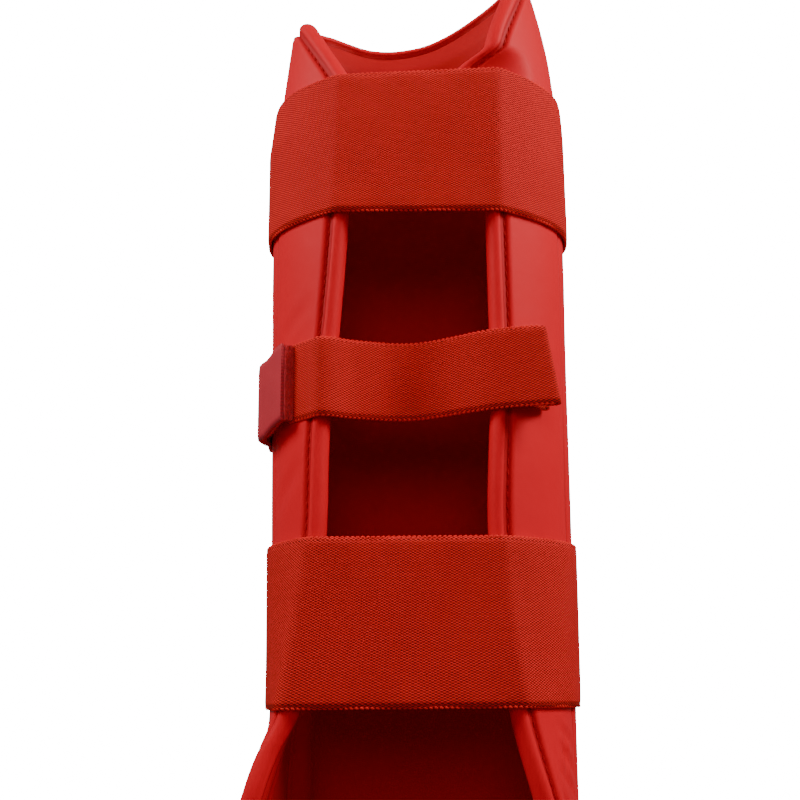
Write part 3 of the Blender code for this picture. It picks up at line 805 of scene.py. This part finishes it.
class GUARD_OT_panel_stitches(bpy.types.Operator):
    """Sew the seams, the rolled edges and the rim"""

    bl_idname = "guard.panel_stitches"
    bl_label = "Panel stitches"

    def execute(self, context):
        pad = sizes("guard_padding")
        stitch = sizes("guard_stitch")
        floor = stitch.radius - pad.groove
        for word, side in SIDES.items():
            top = tip_height(side) - 0.012
            heights = np.linspace(0.006, top, 160)
            seam = [place(side, z, seam_at(side, z), floor) for z in heights]
            stitch_row(f"{word}_seam_stitches", seam, [f"{word}_seam_thread"])
            points, inward = edge_stations(word)
            for face, off, hidden in (("outer", floor, [f"{word}_roll_thread"]),
                                      ("inner", -EDGE_PAD - floor, [])):
                row = []
                for edge, turn in zip(points[2:-6], inward[2:-6]):
                    spot = edge + turn * (2 * pad.roll + NECK_ROOM if face == "outer" else pad.hand_seam)
                    along = max(spot.x, seam_at(side, spot.y) + 0.001)
                    row.append(pinched(side, place(side, spot.y, along, off), 0.0))
                stitch_row(f"{word}_roll_{face}_stitches", row, hidden)
        rim = []
        for i in range(161):
            u = 0.02 + 0.96 * i / 160
            side = RIGHT if u >= 0.5 else LEFT
            share = abs(u - 0.5) * 2
            along = share * seam_at(side, HEIGHT)
            z = rim_at(side, along) - 2 * pad.rim_radius - 0.0006
            along = share * seam_at(side, z)
            off = RIM_THIN + 2 * pad.groove - EDGE_PAD - 0.0002
            rim.append(place(side, z, along, off))
        stitch_row("rim_stitches", rim, ["rim_thread"])
        return {"FINISHED"}


# Elastic


def ribbon(name, path, widths, thickness, rows, finish):
    """A woven strip. path gives (middle point, outward, up) along it, and widths its width at each point."""
    far = along_path([spot for spot, _, _ in path])
    faces = [(i / rows, 1.0) for i in range(rows + 1)] + [(1 - i / rows, 0.0) for i in range(rows + 1)]
    loop = faces + faces[:1]
    weave_rows = [share for share, _ in loop]

    def spot(u, v):
        i = round(u * (len(path) - 1))
        share, side = loop[round(v * (len(loop) - 1))]
        middle, away, up = path[i]
        soft = 0.35 if share in (0.0, 1.0) else 0.0
        off = thickness * (side - 1.0) + thickness * soft * (0.5 - side)
        return middle + up * ((share - 0.5) * widths[i]) + away * off

    def marks(u, v):
        i = round(u * (len(path) - 1))
        share = weave_rows[round(v * (len(loop) - 1))]
        return {"along": far[i], "across": share * widths[0], "edge": min(share, 1.0 - share) * widths[0]}

    return skin(name, len(path) - 1, len(loop) - 1, spot, finish, wrap="v", marks=marks), far


def looped_edge(name, path, width, sign, thickness):
    """The looped selvedge along one edge of a woven strip."""
    weave = sizes("guard_elastic")
    points = [middle + up * (sign * (width / 2 - weave.picot * 0.1)) - away * (thickness * 0.45)
              for middle, away, up in path]
    far = along_path(points)
    count = int(far[-1] / weave.loop_pitch)
    form = bmesh.new()
    columns = [np.array([p[k] for p in points]) for k in range(3)]
    for i in range(count):
        at = (i + 0.5) * weave.loop_pitch
        ends = [Vector([np.interp(at + step, far, column) for column in columns])
                for step in (-0.4 * weave.loop_pitch, 0.4 * weave.loop_pitch)]
        index = min(len(path) - 1, int(np.searchsorted(far, at)))
        _, away, up = path[index]
        run = (ends[1] - ends[0]).normalized()
        lean = (run * 0.9 + up * sign * 0.35).normalized()
        add_bead(form, (ends[0] + ends[1]) / 2, lean, weave.loop_pitch * 0.98, weave.picot)
    return finished(name, form, selvedge_finish())


@functools.cache
def selvedge_finish():
    tints = sizes("guard_colours")
    finish = Finish("elastic_selvedge", {"Specular IOR Level": 0.15, "Specular Tint": (1.0, 0.35, 0.3, 1.0)})
    fibre = finish.grain(1800.0, 2.0)
    finish.feed("Base Color", finish.mix(fibre, rgba(tints.elastic, 0.95), rgba(tints.elastic, 1.5)))
    finish.feed("Roughness", 0.75 + fibre * 0.1)
    finish.feed("Normal", finish.bump(fibre, 0.0002, 0.6))
    return finish.material


def crest_arc(side, z, radius, steps):
    """Plan points round the back of the rolled edge, from the flap's outer face to straight back."""
    centre, away = flat_place(side, z, reach_at(side, z) - ROLL_R, -EDGE_PAD / 2)
    start = math.atan2(away.y, away.x)
    turn = (-math.pi / 2 - start + math.pi) % (2 * math.pi) - math.pi
    points = []
    for i in range(steps + 1):
        angle = start + turn * i / steps
        points.append(Vector((side["sign"] * (centre.x + radius * math.cos(angle)),
                              centre.y + radius * math.sin(angle) + BACK_Y, z)))
    return points


FLANK_STEPS, CREST_STEPS, ACROSS_STEPS = 40, 10, 40


def band_level(z):
    """One level of a band's outer face, from its left sewn end to its right one."""
    band = sizes("guard_elastic")
    lift = band.band_clear + band.band_thick
    halves = []
    for side in (LEFT, RIGHT):
        first = seam_at(side, z) - band.anchor
        last = reach_at(side, z) - ROLL_R
        flank = [place(side, z, first + (last - first) * i / FLANK_STEPS, lift)
                 for i in range(FLANK_STEPS)]
        halves.append(flank + crest_arc(side, z, EDGE_PAD / 2 + lift, CREST_STEPS))
    left, right = halves
    across = [left[-1].lerp(right[-1], i / ACROSS_STEPS) for i in range(1, ACROSS_STEPS)]
    return left + across + right[::-1]


class GUARD_OT_bands(bpy.types.Operator):
    """Make the two wide elastic bands, their looped edges and the rows that sew them down"""

    bl_idname = "guard.bands"
    bl_label = "Elastic bands"

    def execute(self, context):
        band = sizes("guard_elastic")
        rows = 26
        for word, middle in (("lower", band.lower_band), ("upper", HEIGHT - band.upper_drop)):
            levels = [band_level(middle + (i / rows - 0.5) * band.band_width) for i in range(rows + 1)]
            count = len(levels[0])
            far = along_path(levels[rows // 2])
            outs = []
            for j in range(rows + 1):
                level = levels[j]
                line = []
                for i in range(count):
                    run = (level[min(i + 1, count - 1)] - level[max(i - 1, 0)]).normalized()
                    line.append(Vector((run.y, -run.x, 0.0)))
                outs.append(line)
            loop = [(j, 0) for j in range(rows + 1)] + [(rows - j, 1) for j in range(rows + 1)] + [(0, 0)]

            def spot(u, v):
                i = round(u * (count - 1))
                j, inner = loop[round(v * (len(loop) - 1))]
                from_middle = abs(j - rows / 2) / (rows / 2)
                ripple = 0.00018 * math.sin(far[i] * 260.0 + j * 0.25) * from_middle ** 3
                edge = 0.3 if j in (0, rows) else 0.0
                off = -band.band_thick * (inner + edge * (0.5 - inner)) + ripple
                return levels[j][i] + outs[j][i] * off

            def marks(u, v):
                j, _ = loop[round(v * (len(loop) - 1))]
                edge = min(j, rows - j) / rows * band.band_width
                return {"along": far[round(u * (count - 1))], "across": j / rows * band.band_width,
                        "edge": edge}

            piece = skin(f"{word}_elastic", count - 1, len(loop) - 1, spot, elastic_finish(), wrap="v",
                         marks=marks)
            settled(piece, "guard", [f"{word}_band"])
            for end, j, sign in (("bottom", 0, -1), ("top", rows, 1)):
                path = [(middle - UP * (sign * band.band_width / 2), away, UP)
                        for middle, away in zip(levels[j], outs[j])]
                loops = looped_edge(f"{word}_band_{end}_loops", path, band.band_width, sign, band.band_thick)
                settled(loops)
            for side_word, side in SIDES.items():
                row = []
                for i in range(41):
                    z = middle + (i / 40 - 0.5) * (band.band_width - 0.005)
                    along = seam_at(side, z) - band.anchor + 0.003
                    lift = band.band_clear + band.band_thick + 0.0001
                    row.append(place(side, z, along, lift))
                stitch_row(f"{word}_band_{side_word}_stitches", row, [f"{word}_band_{side_word}_thread"])
        return {"FINISHED"}


# Closing strap and its tape

STRAP_RAISE = -0.003
STRAP_TILT = 0.003
STRAP_SAG = 0.016
STRAP_STAND = 0.0085
STRAP_PATCH = 0.010
FOLD_R = 0.0052
FOLD_OUT = 0.0138
FOLD_FLAT = 0.0024
FOLD_LEAN = 0.16
FOLD_RISE = 0.0018
FOLD_APPROACH = 0.0060  # inner ply, just before the fold
FOLD_LEAD = (0.55, 0.004)  # strap just after its fold: share of the fold's offset, distance off it
STRAP_RUN = ((0.05, 1.0), (0.62, 0.45))  # strap across the opening: shares of the opening and of the sag
STRAP_STATIONS = 170
STRAP_END = 0.014
TAB_HINGE = 0.012
TAB_RISE = 0.012
TAB_TIP = 0.014
BASE_INSET = 0.0036  # sewn end of the strap, from the right flap's roll


def strap_middle():
    band = sizes("guard_elastic")
    lower_edge = band.lower_band + band.band_width / 2
    upper_edge = HEIGHT - band.upper_drop - band.band_width / 2
    return (lower_edge + upper_edge) / 2 + STRAP_RAISE


def flank_spot(side, along, out):
    """Plan point beside a flap at the strap's height."""
    flat, _ = flat_place(side, strap_middle(), along, out)
    return Vector((side["sign"] * flat.x, flat.y + BACK_Y))


def rounded(points, steps=8):
    keys = [(i, point.x, point.y) for i, point in enumerate(points)]
    return [Vector(smooth_keys(keys, i / steps)) for i in range((len(points) - 1) * steps + 1)]


def spaced(points, count):
    far = along_path(points)
    even = np.linspace(0.0, far[-1], count + 1)
    return [Vector((x, y)) for x, y in zip(np.interp(even, far, [p.x for p in points]),
                                           np.interp(even, far, [p.y for p in points]))]


def with_directions(line, level):
    """Plan line to (point, outward, up) rows. The line runs so that outward is on its right."""
    path = []
    for i, flat in enumerate(line):
        run = (line[min(i + 1, len(line) - 1)] - line[max(i - 1, 0)]).normalized()
        path.append((Vector((flat.x, flat.y, level(i / (len(line) - 1)))), Vector((-run.y, run.x, 0.0)), UP))
    return path


def strap_line():
    """The whole strap in plan: sewn patch, loose fold, run across the opening, end on the left flap."""
    elastic = sizes("guard_elastic")
    middle = strap_middle()
    lift = SKIN_GAP + elastic.strap_thick
    crest, _ = flat_place(RIGHT, middle, reach_at(RIGHT, middle) - ROLL_R, -EDGE_PAD / 2)
    outer = crest.y - STRAP_STAND + ROLL_R + BACK_Y - FOLD_R
    fold = Vector((crest.x + FOLD_OUT + FOLD_R - FOLD_FLAT, outer + FOLD_FLAT))
    sewn = reach_at(RIGHT, middle) - 2 * ROLL_R - BASE_INSET
    patch = [flank_spot(RIGHT, sewn - STRAP_PATCH * i / 4, lift) for i in range(5)]
    left, _ = flat_place(LEFT, middle, reach_at(LEFT, middle) - ROLL_R, -EDGE_PAD / 2)
    crest_x = -left.x
    over = EDGE_PAD / 2 + 2 * lift
    last = seam_at(LEFT, middle) + STRAP_END
    end_reach = reach_at(LEFT, middle) - 2 * ROLL_R
    flank = [flank_spot(LEFT, end_reach + (last - end_reach) * i / 6, lift + SKIN_GAP) for i in range(7)]
    mid_y = STRAP_SAG - STRAP_STAND / 2
    turn = [fold + Vector((-FOLD_APPROACH, FOLD_FLAT * 1.1)), fold + Vector((0.0, FOLD_FLAT)),
            fold + Vector((FOLD_FLAT, 0.0)), fold + Vector((0.0, -FOLD_FLAT))]
    across = [Vector((crest_x * share, hang * mid_y + BACK_Y)) for share, hang in STRAP_RUN]
    bends = [patch[-1], *turn, Vector((fold.x * FOLD_LEAD[0], outer + FOLD_LEAD[1])), *across,
             Vector((crest_x, left.y + BACK_Y - over)), flank[0]]
    line = patch[:-1] + rounded(bends, 10)[:-1] + flank
    return spaced(line, STRAP_STATIONS), patch


class GUARD_OT_closing_strap(bpy.types.Operator):
    """Make the narrow closing strap with its loose fold, and the loop tape at its end"""

    bl_idname = "guard.closing_strap"
    bl_label = "Closing strap"

    def execute(self, context):
        elastic = sizes("guard_elastic")
        tape = sizes("guard_tape")
        middle = strap_middle()
        line, patch = strap_line()

        def level(share):
            rise = STRAP_TILT * (1 - smoothstep((share - 0.2) * 1.5))
            return middle + rise + FOLD_RISE * (1 - smoothstep(share / 0.14))

        path = with_directions(line, level)
        for i, (spot, away, _) in enumerate(path):
            share = i / (len(path) - 1)
            lean = FOLD_LEAN * smoothstep(share / 0.14) * (1 - smoothstep((share - 0.22) / 0.35))
            path[i] = (spot, away, Vector((-lean, 0.0, 1.0)))
        widths = [elastic.strap_width] * len(path)
        strap, lengths = ribbon("closing_elastic", path, widths, elastic.strap_thick, 16, elastic_finish())
        outermost = max(range(len(path)), key=lambda i: path[i][0].x)
        loops = [looped_edge(f"strap_{word}_loops", path[outermost + 4:], elastic.strap_width, sign,
                             elastic.strap_thick) for word, sign in (("bottom", -1), ("top", 1))]
        for piece in (strap, *loops):
            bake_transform(piece)
        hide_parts("closing_strap", "strap_base")
        lengths[-1] + 2 * elastic.strap_thick
        lift = SKIN_GAP + elastic.strap_thick
        sewn = reach_at(RIGHT, middle) - 2 * ROLL_R - BASE_INSET
        row = []
        for i in range(31):
            z = middle + STRAP_TILT + (i / 30 - 0.5) * (elastic.strap_width - 0.004)
            spot = flank_spot(RIGHT, sewn - 0.003, lift + 0.0002)
            row.append(Vector((spot.x, spot.y, z)))
        stitch_row("strap_base_stitches", row, ["strap_base_thread"])

        last = seam_at(LEFT, middle) + STRAP_END + 0.001
        stop = reach_at(LEFT, middle) - TAB_TIP - 0.0004
        off = lift + SKIN_GAP + tape.pile
        pile_line = [flank_spot(LEFT, stop + (last - stop) * i / 14, off) for i in range(15)]
        pile_path = with_directions(pile_line, lambda share: middle)
        pile, _ = ribbon("loop_pile", pile_path, [tape.width - 0.001] * 15, tape.pile, 12, pile_finish())
        settled(pile, "strap", ["loop_tape"])
        tufts("pile_fibres", "strap", pile_path, tape.width - 0.001, tape.pile)
        return {"FINISHED"}


FIBRE_COUNT = 1100
FIBRE_LENGTHS = (0.0005, 0.0010)
FIBRE_R = 0.00009


def tufts(name, body, path, width, thickness):
    """Short loose fibres that stand out of the tape's cut end and edges."""
    chance = random.Random(7)
    form = bmesh.new()
    end_run = (path[0][0] - path[1][0]).normalized()
    for i in range(FIBRE_COUNT):
        at_end = i % 5 < 4  # four in five stand on the cut end
        middle, away, up = path[0] if at_end else chance.choice(path)
        across = chance.uniform(-0.5, 0.5) if at_end else chance.choice((-0.5, 0.5))
        root = middle + up * (across * width) - away * (thickness * chance.uniform(0.0, 1.0))
        out = end_run if at_end else up * (2 * across)
        lean = (out * chance.uniform(0.4, 1.0) + away * chance.uniform(-0.5, 0.6)
                + up * chance.uniform(-0.5, 0.5)).normalized()
        add_bead(form, root, lean, chance.uniform(*FIBRE_LENGTHS), FIBRE_R)
    settled(finished(name, form, pile_finish()), body)


TAB_DROOP = 0.0042  # how much lower the tab's sewn end hangs than its tip
TAB_DROOP_RUN = 0.013


class GUARD_OT_hook_tab(bpy.types.Operator):
    """Make the hook tab that is sewn to the left flank and closes over the strap's end"""

    bl_idname = "guard.hook_tab"
    bl_label = "Hook tab"

    def execute(self, context):
        elastic = sizes("guard_elastic")
        tape = sizes("guard_tape")
        middle = strap_middle()
        hinge = seam_at(LEFT, middle) - TAB_HINGE
        stack = 2 * SKIN_GAP + elastic.strap_thick + tape.pile + tape.hooks + tape.backing
        root_off = SKIN_GAP + tape.backing
        tip = reach_at(LEFT, middle) - TAB_TIP - 0.0012

        def droop(path, alongs):
            """The sewn end hangs lower than the tip."""
            return [(spot - UP * (TAB_DROOP * smoothstep((tip - along) / TAB_DROOP_RUN)), away, up)
                    for (spot, away, up), along in zip(path, alongs)]

        def lift(along):
            return root_off + (stack - root_off) * smoothstep((along - hinge) / TAB_RISE)

        alongs = np.linspace(hinge - tape.lap, tip, 64)
        line = [flank_spot(LEFT, along, lift(along)) for along in reversed(alongs)]
        path = droop(with_directions(line, lambda share: middle), alongs[::-1])
        widths = [tape.width + 0.0004 * math.sin(i * 0.35) for i in range(len(path))]
        tab, far = ribbon("tab_tape", path, widths, tape.backing, 14, tape_finish())
        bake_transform(tab)
        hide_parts("hook_tab", "tab_root")
        far[-1] + 2 * tape.backing
        first = hinge + TAB_RISE * 0.62
        hook_alongs = np.linspace(tip + 0.0006, first, 25)
        hook_line = [flank_spot(LEFT, along, lift(along) - tape.backing) for along in hook_alongs]
        hook_path = droop(with_directions(hook_line, lambda share: middle), hook_alongs)
        hooks, _ = ribbon("hook_tape", hook_path, [tape.width - 0.0010] * 25, tape.hooks, 10, pile_finish())
        settled(hooks, "tab", ["hook_field"])
        tufts("hook_fibres", "tab", hook_path, tape.width - 0.0010, tape.hooks)
        row = []
        for i in range(31):
            z = middle + (i / 30 - 0.5) * (tape.width - 0.004)
            along = hinge - tape.lap / 2
            row.append(place(LEFT, z, along, root_off + SKIN_GAP / 2) - UP * TAB_DROOP)
        stitch_row("tab_stitches", row, ["tab_thread"])
        return {"FINISHED"}


# Stage

PALE = 18.0  # what the camera sees round the object
DIM = 0.16  # what the surroundings add to the lamps' light


class GUARD_OT_stage(bpy.types.Operator):
    """Set the pale floor, the soft lights and the camera"""

    bl_idname = "guard.stage"
    bl_label = "Stage"

    def execute(self, context):
        stage = sizes("guard_stage")
        form = bmesh.new()
        bmesh.ops.create_grid(form, x_segments=1, y_segments=1, size=6.0)
        floor_finish = Finish("pale_floor", {"Roughness": 0.9, "Specular IOR Level": 0.1})
        dust = floor_finish.grain(30.0, 2.0)
        floor_finish.feed("Base Color", floor_finish.mix(dust, (0.90, 0.90, 0.90, 1), (0.93, 0.93, 0.93, 1)))
        floor_finish.shader.inputs["Emission Color"].default_value = (1.0, 1.0, 1.0, 1.0)
        floor_finish.shader.inputs["Emission Strength"].default_value = PALE
        floor = finished("floor", form, floor_finish.material)
        floor.visible_diffuse = False
        floor.visible_glossy = False

        world = bpy.data.worlds.new("studio")
        world.use_nodes = True
        tree = world.node_tree
        seen = tree.nodes.new("ShaderNodeLightPath")
        strength = tree.nodes.new("ShaderNodeMix")
        strength.inputs[2].default_value = DIM
        strength.inputs[3].default_value = PALE
        tree.links.new(seen.outputs["Is Camera Ray"], strength.inputs[0])
        tree.links.new(strength.outputs[0], tree.nodes["Background"].inputs["Strength"])
        tree.nodes["Background"].inputs["Color"].default_value = (1.0, 1.0, 1.0, 1.0)
        context.scene.world = world

        middle = Vector((0.0, -0.04, 0.20))
        for name, spot, span, power in (("left_soft_box", (-0.74, -0.30, 0.72), 0.5, 7.2),
                                        ("right_soft_box", (0.74, -0.30, 0.72), 0.5, 9.2),
                                        ("front_soft_box", (0.0, -1.30, 0.50), 0.6, 3.0)):
            light = bpy.data.lights.new(name, "AREA")
            light.shape = "DISK"
            light.size = span
            light.energy = power
            lamp = bpy.data.objects.new(name, light)
            lamp.location = spot
            lamp.rotation_euler = (middle - Vector(spot)).to_track_quat("-Z", "Y").to_euler()
            context.scene.collection.objects.link(lamp)

        lens = bpy.data.cameras.new("camera")
        lens.lens = stage.lens
        lens.sensor_width = 36.0
        lens.clip_start = 0.01
        camera = bpy.data.objects.new("camera", lens)
        pivot = Vector((0.0, BACK_Y, 0.0))
        swing = Matrix.Rotation(stage.turn, 4, "Z")
        camera.location = pivot + swing @ Vector((stage.aside, -stage.distance, stage.height))
        camera.rotation_euler = (swing @ Matrix.Rotation(math.pi / 2 + stage.pitch, 4, "X")
                                 @ Matrix.Rotation(stage.roll, 4, "Z")).to_euler()
        context.scene.collection.objects.link(camera)
        context.scene.camera = camera
        return {"FINISHED"}


OPERATORS = (GUARD_OT_stage, GUARD_OT_front_panel, GUARD_OT_flaps, GUARD_OT_panel_stitches, GUARD_OT_bands,
             GUARD_OT_closing_strap, GUARD_OT_hook_tab)


class GUARD_PT_panel(bpy.types.Panel):
    """Makes each piece of the shin guard"""

    bl_idname = "GUARD_PT_panel"
    bl_label = "Shin guard"
    bl_space_type = "VIEW_3D"
    bl_region_type = "UI"
    bl_category = "Shin guard"

    def draw(self, context):
        for operator in OPERATORS:
            self.layout.operator(operator.bl_idname)
        for name, group in GROUPS.items():
            box = self.layout.box()
            for field in group.__annotations__:
                box.prop(getattr(context.scene, name), field)


def register():
    for item in (*GROUPS.values(), *OPERATORS, GUARD_PT_panel):
        bpy.utils.register_class(item)
    for name, group in GROUPS.items():
        setattr(bpy.types.Scene, name, bpy.props.PointerProperty(type=group))


def unregister():
    for name in GROUPS:
        delattr(bpy.types.Scene, name)
    for item in reversed((*GROUPS.values(), *OPERATORS, GUARD_PT_panel)):
        bpy.utils.unregister_class(item)


def main():
    register()
    for operator in OPERATORS:
        family, word = operator.bl_idname.split(".")
        getattr(getattr(bpy.ops, family), word)()


if __name__ == "__main__":
    main()
